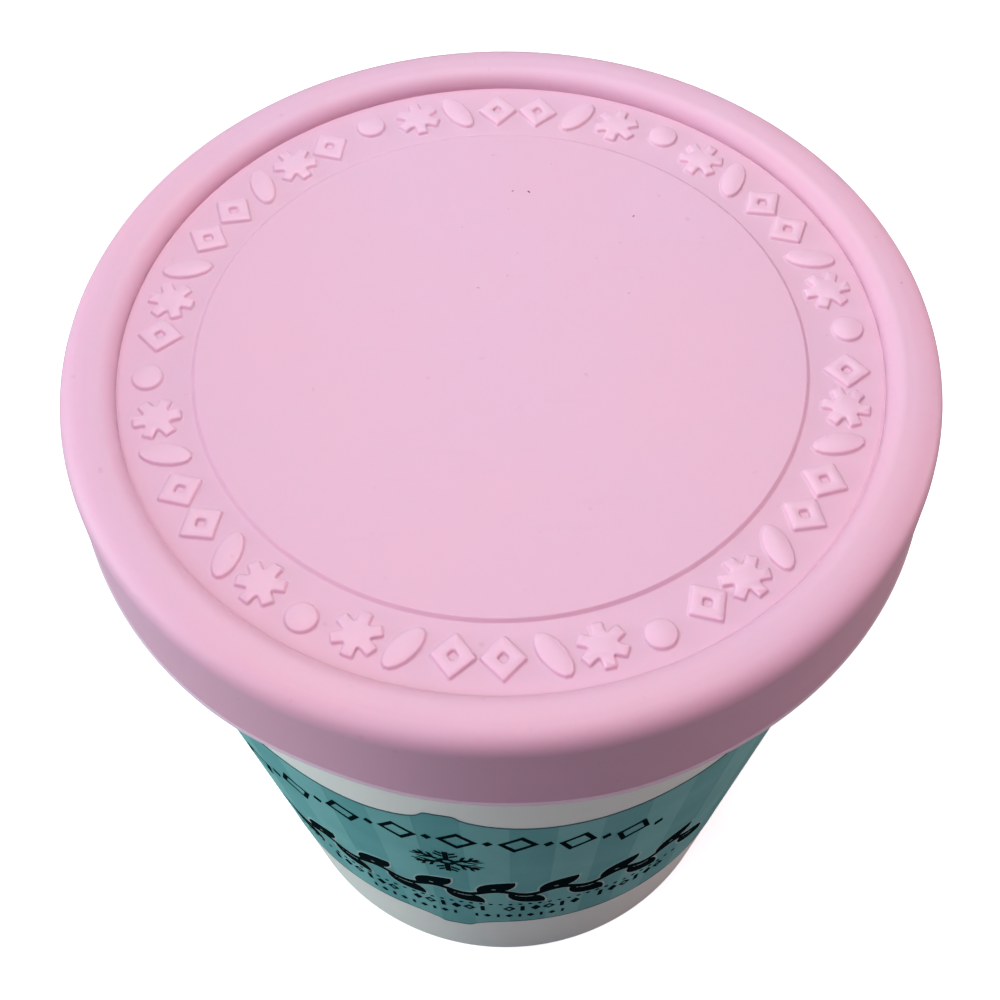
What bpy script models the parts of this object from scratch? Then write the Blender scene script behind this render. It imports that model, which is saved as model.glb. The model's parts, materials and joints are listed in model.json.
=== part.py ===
"""A one-quart ice cream tub, shut: a tapered plastic tub, full to its rim, under a soft press-on lid.

Lengths are in metres and angles in degrees. The origin is the centre of the tub's foot, +Z is up,
and an angle round the tub is 0 at the front (-Y) and grows towards +X.
"""
import math

import bmesh
import bpy

# Whole object
HEIGHT = 0.1288
SIDES = 72
GAP = 0.0003

# Tub
FOOT_RADIUS = 0.0424
FOOT_RING_WIDTH = 0.0034
FOOT_EDGE_ROUND = 0.0010
UNDERSIDE_RECESS = 0.0020
WALL_RADIUS_AT_SKIRT = 0.05726
SKIRT_LEVEL = 0.1120
RIM_WIDTH = 0.0025
RIM_BEAD_HEIGHT = 0.0045
RIM_EDGE_ROUND = 0.0006

# Lid
LID_RADIUS = 0.0610
LID_WALL = 0.0017
LID_TOP_THICKNESS = 0.0020
LID_EDGE_ROUND = 0.0040
RIM_INNER_RADIUS = 0.0556
BAND_OUTER_RADIUS = 0.0532
BAND_DEPTH = 0.0025
DISC_RADIUS = 0.0425
DISC_STEP = 0.00035
SLOPE_EASE = 0.0005
LIP_HEIGHT = 0.0005
LIP_PROUD = 0.00035

# The soft skirt hangs a little crooked: its lower edge slopes to one side and has two shallow waves
SKIRT_SLOPE = 0.0005
SKIRT_WAVES = ((-24.0, 12.0, 0.0013), (14.0, 10.0, -0.0005))

# Raised ornament on the lid's band: six dots, with groups of small figures between them
ORNAMENT_RELIEF = 0.0006
ORNAMENT_ROOT = 0.0008
ORNAMENT_RADIUS = 0.0478
ORNAMENT_HEIGHT = 0.0060
LOZENGE_WIDTH = 0.0054
LOZENGE_OPENING = 0.32
LEAF_LENGTH = 0.0067
LEAF_WIDTH = 0.0025
LEAF_LEAN = 28.0
STAR_ARMS = 6
STAR_BAR_WIDTH = 0.0013
DOT_RADIUS = 0.00215
DOT_SIDES = 16
DOT_RING_RADIUS = 0.04875
FIRST_DOT_ANGLE = -86.0
GROUP_MARGIN = 5.0
SHORT_GROUP = ("star", "leaf_left", "lozenge", "lozenge", "leaf_right", "star")
LONG_GROUP = ("lozenge", "star", "leaf_left", "lozenge", "lozenge", "leaf_right", "star", "lozenge")
GROUPS = ((54.75, SHORT_GROUP), (54.75, SHORT_GROUP), (70.5, LONG_GROUP)) * 2


def clear_scene():
    for thing in list(bpy.data.objects):
        bpy.data.objects.remove(thing)


def plastic(name, colour, roughness):
    material = bpy.data.materials.new(name)
    material.use_nodes = True
    shader = material.node_tree.nodes["Principled BSDF"]
    shader.inputs["Base Color"].default_value = (*colour, 1.0)
    shader.inputs["Roughness"].default_value = roughness
    shader.inputs["Metallic"].default_value = 0.0
    return material


def place_on_ring(angle, radius):
    """The point at this angle and radius, seen from above."""
    turn = math.radians(angle)
    return radius * math.sin(turn), -radius * math.cos(turn)


def quarter_round(centre_r, centre_z, radius, start, end, steps):
    """Points (r, z) on an arc. Its angles run from 0, outwards, to 90, upwards."""
    points = []
    for step in range(steps + 1):
        turn = math.radians(start + (end - start) * step / steps)
        points.append((centre_r + radius * math.cos(turn), centre_z + radius * math.sin(turn)))
    return points


def turned_solid(name, outline, material):
    """A closed solid turned round the Z axis. The outline, as (r, z), starts and ends on that axis."""
    shape = bmesh.new()
    corners = [shape.verts.new((r, 0.0, z)) for r, z in outline]
    edges = [shape.edges.new(pair) for pair in zip(corners, corners[1:])]
    bmesh.ops.spin(
        shape, geom=corners + edges, cent=(0.0, 0.0, 0.0), axis=(0.0, 0.0, 1.0),
        angle=math.tau, steps=SIDES, use_duplicate=False,
    )
    bmesh.ops.remove_doubles(shape, verts=shape.verts, dist=1e-6)
    bmesh.ops.recalc_face_normals(shape, faces=shape.faces)
    mesh = bpy.data.meshes.new(name)
    shape.to_mesh(mesh)
    shape.free()
    mesh.materials.append(material)
    solid = bpy.data.objects.new(name, mesh)
    bpy.context.scene.collection.objects.link(solid)
    return solid


def shade_round(solid):
    solid.data.shade_smooth()
    solid.data.set_sharp_from_angle(angle=math.radians(35))


# Tub: wall, foot ring and rim in one piece with what fills it, as nothing of the inside shows
def tub_outline():
    taper = (WALL_RADIUS_AT_SKIRT - FOOT_RADIUS) / SKIRT_LEVEL
    rim_top = HEIGHT - LID_TOP_THICKNESS - GAP
    bead_radius = LID_RADIUS - LID_WALL - GAP
    bead_bottom = rim_top - RIM_BEAD_HEIGHT
    fill_level = rim_top - BAND_DEPTH
    foot_inner = FOOT_RADIUS - FOOT_RING_WIDTH
    return [
        (0.0, UNDERSIDE_RECESS),
        (foot_inner - UNDERSIDE_RECESS, UNDERSIDE_RECESS),
        (foot_inner, 0.0),
        (FOOT_RADIUS - FOOT_EDGE_ROUND, 0.0),
        (FOOT_RADIUS - FOOT_EDGE_ROUND / 3, FOOT_EDGE_ROUND / 3),
        (FOOT_RADIUS + taper * FOOT_EDGE_ROUND, FOOT_EDGE_ROUND),
        (FOOT_RADIUS + taper * SKIRT_LEVEL, SKIRT_LEVEL),
        (FOOT_RADIUS + taper * bead_bottom - RIM_EDGE_ROUND, bead_bottom),
        (bead_radius, bead_bottom + RIM_EDGE_ROUND),
        (bead_radius, rim_top - RIM_EDGE_ROUND),
        (bead_radius - RIM_EDGE_ROUND, rim_top),
        (bead_radius - RIM_WIDTH, rim_top),
        (bead_radius - RIM_WIDTH - GAP, fill_level),
        (0.0, fill_level),
    ]


# Lid: a soft shell over the tub's rim, with a raised rim round a sunken band and disc
def lid_outline():
    skirt_bottom = SKIRT_LEVEL - LIP_HEIGHT
    inner_radius = LID_RADIUS - LID_WALL
    rim_channel_radius = inner_radius - GAP - RIM_WIDTH - GAP
    band_level = HEIGHT - BAND_DEPTH
    disc_level = band_level + DISC_STEP
    under_rim = HEIGHT - LID_TOP_THICKNESS
    under_disc = band_level - LID_TOP_THICKNESS
    shoulder = HEIGHT - LID_EDGE_ROUND
    top_round = quarter_round(LID_RADIUS - LID_EDGE_ROUND, shoulder, LID_EDGE_ROUND, 0, 90, 5)
    return [
        (0.0, under_disc),
        (rim_channel_radius - GAP, under_disc),
        (rim_channel_radius, under_rim),
        (inner_radius, under_rim),
        (inner_radius, skirt_bottom),
        (LID_RADIUS + LIP_PROUD, skirt_bottom),
        (LID_RADIUS + LIP_PROUD, SKIRT_LEVEL - LIP_PROUD / 2),
        (LID_RADIUS, SKIRT_LEVEL + LIP_PROUD / 2),
        *top_round,
        (RIM_INNER_RADIUS + SLOPE_EASE, HEIGHT),
        (RIM_INNER_RADIUS - SLOPE_EASE / 2, HEIGHT - SLOPE_EASE),
        (BAND_OUTER_RADIUS + SLOPE_EASE, band_level + SLOPE_EASE),
        (BAND_OUTER_RADIUS - SLOPE_EASE / 2, band_level),
        (DISC_RADIUS + DISC_STEP, band_level),
        (DISC_RADIUS - DISC_STEP, disc_level),
        (0.0, disc_level),
    ]


def skirt_rise(angle):
    """How far the skirt's lower edge lies above its mean level at this angle."""
    rise = -SKIRT_SLOPE * math.sin(math.radians(angle))
    for centre, width, height in SKIRT_WAVES:
        rise += height * math.exp(-((angle - centre) / width) ** 2)
    return rise


def hang_skirt(lid):
    """Moves the skirt's lower rings to their uneven level."""
    for corner in lid.data.vertices:
        if corner.co.z < SKIRT_LEVEL + LIP_HEIGHT:
            angle = math.degrees(math.atan2(corner.co.x, -corner.co.y))
            corner.co.z += skirt_rise(angle)


# Ornament figures, as outlines (across, outwards) in metres, and an inner outline where they are open
def lozenge_figure():
    half_width, half_height = LOZENGE_WIDTH / 2, ORNAMENT_HEIGHT / 2
    outer = [(half_width, 0.0), (0.0, half_height), (-half_width, 0.0), (0.0, -half_height)]
    inner = [(LOZENGE_OPENING * x, LOZENGE_OPENING * y) for x, y in outer]
    return outer, inner


def leaf_figure(lean):
    """A pointed leaf, leaning to the right for a positive angle."""
    steps = 4
    side = []
    for step in range(steps):
        turn = math.pi * step / steps
        side.append((LEAF_WIDTH / 2 * math.sin(turn), LEAF_LENGTH / 2 * math.cos(turn)))
    outline = side + [(-x, -y) for x, y in side]
    cosine, sine = math.cos(math.radians(lean)), math.sin(math.radians(lean))
    leaning = [(x * cosine + y * sine, y * cosine - x * sine) for x, y in outline]
    return leaning[::-1], None


def star_figure():
    """Bars of one width that cross in the middle."""
    reach, half_bar = ORNAMENT_HEIGHT / 2, STAR_BAR_WIDTH / 2
    half_turn = math.pi / STAR_ARMS
    notch = half_bar / math.sin(half_turn)
    outline = []
    for arm in range(STAR_ARMS):
        turn = math.pi / 2 + 2 * half_turn * arm
        along = (math.cos(turn), math.sin(turn))
        for side in (-half_bar, half_bar):
            outline.append((reach * along[0] - side * along[1], reach * along[1] + side * along[0]))
        between = turn + half_turn
        outline.append((notch * math.cos(between), notch * math.sin(between)))
    return outline, None


def dot_figure():
    turns = [math.tau * side / DOT_SIDES for side in range(DOT_SIDES)]
    return [(DOT_RADIUS * math.cos(turn), DOT_RADIUS * math.sin(turn)) for turn in turns], None


FIGURES = {
    "lozenge": lozenge_figure(),
    "leaf_left": leaf_figure(-LEAF_LEAN),
    "leaf_right": leaf_figure(LEAF_LEAN),
    "star": star_figure(),
    "dot": dot_figure(),
}


def raised_figure(name, figure, angle, radius, band_level):
    """A small upright prism on the band, rooted in the lid below it."""
    outer, inner = FIGURES[figure]
    centre_x, centre_y = place_on_ring(angle, radius)
    turn = math.radians(angle)
    across = (math.cos(turn), math.sin(turn))
    outwards = (math.sin(turn), -math.cos(turn))

    def corner(point, z):
        x = centre_x + point[0] * across[0] + point[1] * outwards[0]
        y = centre_y + point[0] * across[1] + point[1] * outwards[1]
        return x, y, z

    shape = bmesh.new()
    floor = band_level - ORNAMENT_ROOT
    loops = [[shape.verts.new(corner(p, floor)) for p in loop] for loop in (outer, inner) if loop]
    if inner:
        count = len(outer)
        base = [
            shape.faces.new((loops[0][k], loops[0][(k + 1) % count], loops[1][(k + 1) % count], loops[1][k]))
            for k in range(count)
        ]
    else:
        base = [shape.faces.new(loops[0])]
    grown = bmesh.ops.extrude_face_region(shape, geom=base)
    top = [item for item in grown["geom"] if isinstance(item, bmesh.types.BMVert)]
    bmesh.ops.translate(shape, verts=top, vec=(0.0, 0.0, ORNAMENT_ROOT + ORNAMENT_RELIEF))
    bmesh.ops.recalc_face_normals(shape, faces=shape.faces)
    mesh = bpy.data.meshes.new(name)
    shape.to_mesh(mesh)
    shape.free()
    return bpy.data.objects.new(name, mesh)


def ornament_places():
    """Each figure's name, angle and radius, going once round the band."""
    angle = FIRST_DOT_ANGLE
    for group_angle, figures in GROUPS:
        yield "dot", angle, DOT_RING_RADIUS
        pitch = (group_angle - 2 * GROUP_MARGIN) / len(figures)
        for place, figure in enumerate(figures):
            yield figure, angle + GROUP_MARGIN + (place + 0.5) * pitch, ORNAMENT_RADIUS
        angle += group_angle


def fuse_ornament(lid):
    """Joins every figure to the lid with one Boolean union, so that they are one solid."""
    group = bpy.data.collections.new("lid_ornament")
    bpy.context.scene.collection.children.link(group)
    band_level = HEIGHT - BAND_DEPTH
    for number, (figure, angle, radius) in enumerate(ornament_places()):
        group.objects.link(raised_figure(f"figure_{number:02d}", figure, angle, radius, band_level))
    union = lid.modifiers.new("ornament", "BOOLEAN")
    union.operation = "UNION"
    union.operand_type = "COLLECTION"
    union.collection = group
    union.solver = "EXACT"
    bpy.context.view_layer.update()
    evaluated = lid.evaluated_get(bpy.context.evaluated_depsgraph_get())
    fused = bpy.data.meshes.new_from_object(evaluated)
    lid.modifiers.remove(union)
    lid.data = fused
    for figure in list(group.objects):
        bpy.data.objects.remove(figure)
    bpy.data.collections.remove(group)


clear_scene()

tub = turned_solid("tub", tub_outline(), plastic("white_plastic", (0.82, 0.83, 0.80), 0.35))
shade_round(tub)

lid = turned_solid("lid", lid_outline(), plastic("pink_silicone", (0.80, 0.46, 0.58), 0.60))
hang_skirt(lid)
fuse_ornament(lid)
shade_round(lid)
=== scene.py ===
import json
import math

import bmesh
import bpy
from mathutils import Matrix, Vector

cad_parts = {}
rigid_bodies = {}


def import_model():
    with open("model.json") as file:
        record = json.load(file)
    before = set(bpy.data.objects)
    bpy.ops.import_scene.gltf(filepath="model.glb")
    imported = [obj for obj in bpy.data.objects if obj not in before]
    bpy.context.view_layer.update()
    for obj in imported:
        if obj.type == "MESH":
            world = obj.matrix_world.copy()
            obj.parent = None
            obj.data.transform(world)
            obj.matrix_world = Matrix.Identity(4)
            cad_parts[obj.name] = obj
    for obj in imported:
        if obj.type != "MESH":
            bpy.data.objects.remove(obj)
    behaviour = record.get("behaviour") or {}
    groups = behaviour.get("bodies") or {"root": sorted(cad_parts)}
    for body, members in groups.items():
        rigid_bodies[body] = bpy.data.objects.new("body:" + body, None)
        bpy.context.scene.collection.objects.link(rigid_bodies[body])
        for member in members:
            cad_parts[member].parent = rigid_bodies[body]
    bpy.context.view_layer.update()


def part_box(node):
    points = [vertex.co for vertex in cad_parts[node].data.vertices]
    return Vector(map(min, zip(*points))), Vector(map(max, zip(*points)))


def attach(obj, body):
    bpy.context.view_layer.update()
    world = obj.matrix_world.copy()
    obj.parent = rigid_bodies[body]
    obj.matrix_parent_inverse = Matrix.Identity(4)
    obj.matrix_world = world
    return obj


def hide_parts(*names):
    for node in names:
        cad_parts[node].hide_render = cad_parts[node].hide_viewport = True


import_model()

# The tub
# A tapered tub, injection moulded in white plastic, with a foot ring below and a rounded bead at its rim.
# It is full to the rim, so it is one closed turned shape, and its satin skin has a very fine grain.
TUB_SIDES = 256
TUB_FOOT_RADIUS = 0.0424
TUB_FOOT_RING_WIDTH = 0.0034
TUB_FOOT_ROUNDS = (0.0005, 0.0010)
TUB_UNDERSIDE_RECESS = 0.0020
TUB_UNDERSIDE_ROUND = 0.0006
TUB_WALL_RADIUS_HIGH = 0.05726
TUB_WALL_LEVEL_HIGH = 0.1120
TUB_TAPER = (TUB_WALL_RADIUS_HIGH - TUB_FOOT_RADIUS) / TUB_WALL_LEVEL_HIGH
TUB_WALL_TOP_ROUND = 0.0002
TUB_RIM_WIDTH = 0.0025
TUB_RIM_INNER_ROUND = 0.0003
TUB_BEAD_HEIGHT = 0.0045
TUB_BEAD_ROUND = 0.0006
TUB_FILL_DEPTH = 0.0025
TUB_WHITE = (0.900, 0.900, 0.830, 1.0)
TUB_WHITE_DULL = (0.860, 0.860, 0.795, 1.0)
TUB_SPECK_GREY = (0.5, 0.5, 0.47, 1.0)
TUB_ROUGHNESS = (0.30, 0.38)
TUB_IOR = 1.49
TUB_SKIN_SCALES = (2600.0, 45.0)
TUB_SPECKS = (700.0, 0.02)
TUB_GRAIN_BUMP = (0.12, 0.00008)
BROAD_RANGE = (0.3, 0.7)
SPECK_STRENGTH = 0.25
SPECK_LEVEL = 0.80
SPECK_SOFTNESS = 0.07
SCUFF_TURN = (0.0, 0.0, 0.6)
SCUFF_SCALE = (60.0, 420.0, 60.0)
SCUFF_RANGE = (0.66, 0.80)
MERGE_DISTANCE = 1e-6
SHARP_ANGLE = 40.0
ROUND_REACH = 0.95
BESIDE_ROUND = 0.25
BESIDE_ROUND_MOST = 0.02


def add_node(tree, kind, settings=None, wires=None):
    """Adds a node. A wire goes to an input, by name or number, and is a value or another node's output."""
    node = tree.nodes.new(kind)
    for name, value in (settings or {}).items():
        setattr(node, name, value)
    for name, value in (wires or {}).items():
        if isinstance(value, bpy.types.NodeSocket):
            tree.links.new(value, node.inputs[name])
        else:
            node.inputs[name].default_value = value
    return node


def maths(tree, operation, first, second=0.0):
    return add_node(tree, "ShaderNodeMath", {"operation": operation}, {0: first, 1: second}).outputs[0]


def new_group(name, kind, inputs, outputs):
    """A node tree with named sockets. Returns it with what it is given and what it puts out."""
    tree = bpy.data.node_groups.new(name, kind)
    for label, socket in inputs.items():
        tree.interface.new_socket(label, in_out="INPUT", socket_type=socket)
    for label, socket in outputs.items():
        tree.interface.new_socket(label, in_out="OUTPUT", socket_type=socket)
    return tree, tree.nodes.new("NodeGroupInput").outputs, tree.nodes.new("NodeGroupOutput").inputs


def merged(tree, shape):
    return add_node(tree, "GeometryNodeMergeByDistance", wires={
        "Geometry": shape, "Distance": MERGE_DISTANCE,
    }).outputs[0]


def place_round_axis(tree, radius, turn, level):
    """The place at a radius from the Z axis, a turn from the front and a level."""
    across = maths(tree, "MULTIPLY", radius, maths(tree, "SINE", turn))
    back = maths(tree, "MULTIPLY", radius, maths(tree, "MULTIPLY", maths(tree, "COSINE", turn), -1.0))
    return add_node(tree, "ShaderNodeCombineXYZ", wires={0: across, 1: back, 2: level}).outputs[0]


def end_tree(tree, given, result, shape):
    """Ends a geometry tree with its shape made plain and given its finish."""
    plain = add_node(tree, "GeometryNodeRealizeInstances", wires={0: shape})
    finished = add_node(tree, "GeometryNodeSetMaterial", wires={
        "Geometry": plain.outputs[0], "Material": given["Finish"],
    })
    tree.links.new(finished.outputs[0], result[0])
    return tree


def turned_shape_tree():
    """Turns an outline, given as points (r, 0, z) in order, round the Z axis."""
    tree, given, result = new_group(
        "turned_shape", "GeometryNodeTree",
        {"Outline": "NodeSocketGeometry", "Sides": "NodeSocketInt", "Finish": "NodeSocketMaterial"},
        {"Shape": "NodeSocketGeometry"},
    )
    outline = given["Outline"]
    count = add_node(tree, "GeometryNodeAttributeDomainSize", wires={0: outline}).outputs["Point Count"]
    columns = maths(tree, "ADD", given["Sides"], 1.0)
    grid = add_node(tree, "GeometryNodeMeshGrid", wires={
        "Size X": 1.0, "Size Y": 1.0, "Vertices X": columns, "Vertices Y": count,
    })
    position = add_node(tree, "GeometryNodeInputPosition").outputs[0]
    on_grid = add_node(tree, "ShaderNodeSeparateXYZ", wires={0: position})
    turn = maths(tree, "MULTIPLY", maths(tree, "ADD", on_grid.outputs["X"], 0.5), math.tau)
    share = maths(tree, "ADD", on_grid.outputs["Y"], 0.5)
    row = maths(tree, "ROUND", maths(tree, "MULTIPLY", share, maths(tree, "SUBTRACT", count, 1.0)))
    corner = add_node(
        tree, "GeometryNodeSampleIndex", {"data_type": "FLOAT_VECTOR", "domain": "POINT"},
        {"Geometry": outline, "Value": position, "Index": row},
    )
    on_outline = add_node(tree, "ShaderNodeSeparateXYZ", wires={0: corner.outputs["Value"]})
    turned = add_node(tree, "GeometryNodeSetPosition", wires={
        "Geometry": grid.outputs["Mesh"],
        "Position": place_round_axis(tree, on_outline.outputs["X"], turn, on_outline.outputs["Z"]),
    })
    return end_tree(tree, given, result, merged(tree, turned.outputs[0]))


def in_scene(name, data):
    thing = bpy.data.objects.new(name, data)
    bpy.context.scene.collection.objects.link(thing)
    return thing


def grown_piece(name, start, tree, inputs):
    """Runs a geometry tree on a starting mesh, and returns its result as a plain closed mesh object."""
    piece = in_scene(name, start)
    modifier = piece.modifiers.new("growth", "NODES")
    modifier.node_group = tree
    for item in tree.interface.items_tree:
        if item.item_type == "SOCKET" and item.in_out == "INPUT" and item.name in inputs:
            modifier[item.identifier] = inputs[item.name]
    bpy.context.view_layer.update()
    mesh = bpy.data.meshes.new_from_object(piece.evaluated_get(bpy.context.evaluated_depsgraph_get()))
    piece.modifiers.remove(modifier)
    mesh.name = name
    piece.data = mesh
    shape = bmesh.new()
    shape.from_mesh(mesh)
    bmesh.ops.remove_doubles(shape, verts=shape.verts, dist=1e-7)
    bmesh.ops.recalc_face_normals(shape, faces=shape.faces)
    shape.to_mesh(mesh)
    shape.free()
    mesh.shade_smooth()
    mesh.set_sharp_from_angle(angle=math.radians(SHARP_ANGLE))
    return piece


def rounded_outline(corners, steps=5):
    """Points (r, z) through corners (r, z, radius), each rounded by an arc, with a point beside each arc."""
    points = []
    for place, (r, z, radius) in enumerate(corners):
        here = Vector((r, z))
        if radius == 0.0 or place in (0, len(corners) - 1):
            points.append(here)
            continue
        before = Vector(corners[place - 1][:2]) - here
        after = Vector(corners[place + 1][:2]) - here
        half_angle = before.angle(after) / 2
        reach = min(radius / math.tan(half_angle), ROUND_REACH * min(before.length, after.length))
        start, end = here + before.normalized() * reach, here + after.normalized() * reach
        middle = (before.normalized() + after.normalized()).normalized()
        centre = here + middle * (reach / math.cos(half_angle))
        turn = (start - centre).angle_signed(end - centre)
        beside = BESIDE_ROUND * reach
        points.append(start + before.normalized() * min(beside, BESIDE_ROUND_MOST * before.length))
        for step in range(steps + 1):
            points.append(centre + Matrix.Rotation(-turn * step / steps, 2) @ (start - centre))
        points.append(end + after.normalized() * min(beside, BESIDE_ROUND_MOST * after.length))
    return points


def outline_mesh(name, points):
    mesh = bpy.data.meshes.new(name)
    mesh.from_pydata([(r, 0.0, z) for r, z in points], [(k, k + 1) for k in range(len(points) - 1)], [])
    return mesh


def new_finish(name):
    """A material, its node tree, its Principled shader and the place on the piece."""
    material = bpy.data.materials.new(name)
    material.use_nodes = True
    tree = material.node_tree
    place = add_node(tree, "ShaderNodeTexCoord").outputs["Object"]
    return material, tree, tree.nodes["Principled BSDF"], place


def noise(tree, place, scale, detail, roughness):
    return add_node(tree, "ShaderNodeTexNoise", {"noise_dimensions": "3D"}, {
        "Vector": place, "Scale": scale, "Detail": detail, "Roughness": roughness,
    }).outputs[0]


def ranged(tree, value, low, high, least=0.0, most=1.0):
    """A value brought from the range between least and most to the range from low to high."""
    return add_node(tree, "ShaderNodeMapRange", wires={
        "Value": value, "From Min": least, "From Max": most, "To Min": low, "To Max": high,
    }).outputs[0]


def moulded_skin_group():
    """Fine moulding grain, as a height, and broad faint unevenness, as a mask from 0 to 1."""
    tree, given, result = new_group(
        "moulded_skin", "ShaderNodeTree",
        {"Place": "NodeSocketVector", "Grain Scale": "NodeSocketFloat", "Broad Scale": "NodeSocketFloat"},
        {"Grain": "NodeSocketFloat", "Broad": "NodeSocketFloat"},
    )
    grain = noise(tree, given["Place"], given["Grain Scale"], 3.0, 0.6)
    broad = noise(tree, given["Place"], given["Broad Scale"], 2.0, 0.5)
    tree.links.new(grain, result["Grain"])
    tree.links.new(ranged(tree, broad, 0.0, 1.0, *BROAD_RANGE), result["Broad"])
    return tree


def settled_marks_group():
    """Small soft specks and long faint scuffs, each as a mask from 0 to 1."""
    tree, given, result = new_group(
        "settled_marks", "ShaderNodeTree",
        {"Place": "NodeSocketVector", "Speck Scale": "NodeSocketFloat", "Speck Share": "NodeSocketFloat"},
        {"Specks": "NodeSocketFloat", "Scuffs": "NodeSocketFloat"},
    )
    speck_noise = noise(tree, given["Place"], given["Speck Scale"], 1.0, 0.4)
    least = maths(tree, "SUBTRACT", SPECK_LEVEL, given["Speck Share"])
    specks = ranged(tree, speck_noise, 0.0, 1.0, least, maths(tree, "ADD", least, SPECK_SOFTNESS))
    stretched = add_node(tree, "ShaderNodeMapping", wires={
        "Vector": given["Place"], "Rotation": SCUFF_TURN, "Scale": SCUFF_SCALE,
    })
    scuff_noise = noise(tree, stretched.outputs[0], 1.0, 2.0, 0.55)
    scuffs = ranged(tree, scuff_noise, 0.0, 1.0, *SCUFF_RANGE)
    tree.links.new(specks, result["Specks"])
    tree.links.new(scuffs, result["Scuffs"])
    return tree


MOULDED_SKIN = moulded_skin_group()
SETTLED_MARKS = settled_marks_group()
TURNED_SHAPE = turned_shape_tree()


def mixed_colour(tree, share, first, second):
    """A colour between two, by a mask. Either colour is four numbers or another node's output."""
    mix = add_node(tree, "ShaderNodeMix", {"data_type": "RGBA"}, {0: share})
    for socket, colour in ((mix.inputs[6], first), (mix.inputs[7], second)):
        if isinstance(colour, bpy.types.NodeSocket):
            tree.links.new(colour, socket)
        else:
            socket.default_value = colour
    return mix.outputs[2]


def skin_on(tree, place, grain_scale, broad_scale):
    return add_node(tree, "ShaderNodeGroup", {"node_tree": MOULDED_SKIN}, {
        "Place": place, "Grain Scale": grain_scale, "Broad Scale": broad_scale,
    }).outputs


def skinned_finish(name, skin_scales, specks, grain_bump, roughness, ior):
    """A material with a moulded skin. Returns it with its tree and shader, its broad mask and its marks."""
    material, tree, shader, place = new_finish(name)
    skin = skin_on(tree, place, *skin_scales)
    marks = add_node(tree, "ShaderNodeGroup", {"node_tree": SETTLED_MARKS}, {
        "Place": place, "Speck Scale": specks[0], "Speck Share": specks[1],
    }).outputs
    bump = add_node(tree, "ShaderNodeBump", wires={
        "Strength": grain_bump[0], "Distance": grain_bump[1], "Height": skin["Grain"],
    })
    tree.links.new(bump.outputs[0], shader.inputs["Normal"])
    tree.links.new(ranged(tree, skin["Broad"], *roughness), shader.inputs["Roughness"])
    shader.inputs["IOR"].default_value = ior
    return material, tree, shader, skin["Broad"], marks


def white_plastic():
    material, tree, shader, broad, marks = skinned_finish(
        "tub_white_plastic", TUB_SKIN_SCALES, TUB_SPECKS, TUB_GRAIN_BUMP, TUB_ROUGHNESS, TUB_IOR,
    )
    colour = mixed_colour(tree, broad, TUB_WHITE, TUB_WHITE_DULL)
    speck_share = ranged(tree, marks["Specks"], 0.0, SPECK_STRENGTH)
    tree.links.new(mixed_colour(tree, speck_share, colour, TUB_SPECK_GREY), shader.inputs["Base Color"])
    return material


def tub_corners():
    """The tub's outline as (r, z, rounding), from the middle of its underside round to that of its top."""
    tub_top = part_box("tub")[1]
    rim_top, bead_radius = tub_top.z, tub_top.x
    foot_inner = TUB_FOOT_RADIUS - TUB_FOOT_RING_WIDTH
    bead_bottom = rim_top - TUB_BEAD_HEIGHT
    fill_level = rim_top - TUB_FILL_DEPTH
    return [
        (0.0, TUB_UNDERSIDE_RECESS, 0.0),
        (foot_inner - TUB_UNDERSIDE_RECESS, TUB_UNDERSIDE_RECESS, TUB_UNDERSIDE_ROUND),
        (foot_inner, 0.0, TUB_FOOT_ROUNDS[0]),
        (TUB_FOOT_RADIUS, 0.0, TUB_FOOT_ROUNDS[1]),
        (TUB_FOOT_RADIUS + TUB_TAPER * bead_bottom, bead_bottom, TUB_WALL_TOP_ROUND),
        (bead_radius, bead_bottom, TUB_BEAD_ROUND),
        (bead_radius, rim_top, TUB_BEAD_ROUND),
        (bead_radius - TUB_RIM_WIDTH, rim_top, TUB_RIM_INNER_ROUND),
        (bead_radius - TUB_RIM_WIDTH, fill_level, 0.0),
        (0.0, fill_level, 0.0),
    ]


tub = grown_piece(
    "tub_body", outline_mesh("tub_outline", rounded_outline(tub_corners())), TURNED_SHAPE,
    {"Sides": TUB_SIDES, "Finish": white_plastic()},
)
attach(tub, "root")
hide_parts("tub")

# The label's panel
# A thin satin film moulded into the tub's wall, all round it, with a bracket shape on two opposite sides.
# It is printed in dark teal, with lighter upright stripes over that and a thin dark line along both edges.
LABEL_CENTRES = (-10.5, 169.5)
LABEL_FOLD = 90.0
# Keys of the panel's edges are (degrees from the middle of the label, level).
LABEL_TOP = (
    (-90.0, 0.0984), (-76.0, 0.0982), (-46.0, 0.0945), (-27.5, 0.0900), (-19.0, 0.0879), (-12.0, 0.0873),
    (-7.0, 0.0881), (-4.4, 0.0891), (-2.9, 0.0904), (-2.0, 0.0920), (0.2, 0.0922), (2.5, 0.0920),
    (3.6, 0.0905), (5.4, 0.0893), (8.5, 0.0881), (14.0, 0.0869), (21.0, 0.0865), (29.0, 0.0870),
    (36.0, 0.0882), (43.5, 0.0900), (52.0, 0.0940), (76.0, 0.0982), (90.0, 0.0984),
)
LABEL_BOTTOM = (
    (-90.0, 0.0226), (-76.0, 0.0227), (-40.0, 0.0240), (-13.0, 0.0241), (-8.5, 0.0234), (-6.2, 0.0223),
    (-4.8, 0.0212), (-4.0, 0.0200), (-1.0, 0.0199), (2.0, 0.0201), (3.0, 0.0213), (4.6, 0.0226),
    (8.0, 0.0241), (16.0, 0.0246), (26.0, 0.0245), (40.0, 0.0240), (76.0, 0.0227), (90.0, 0.0226),
)
LABEL_COLUMN = 0.5
LABEL_LEVEL = 0.0560
STRIPE_COUNT = 24
STRIPE_PITCH = 15.0
STRIPE_WIDTH = 7.5
STRIPE_CENTRE = 11.65
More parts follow.
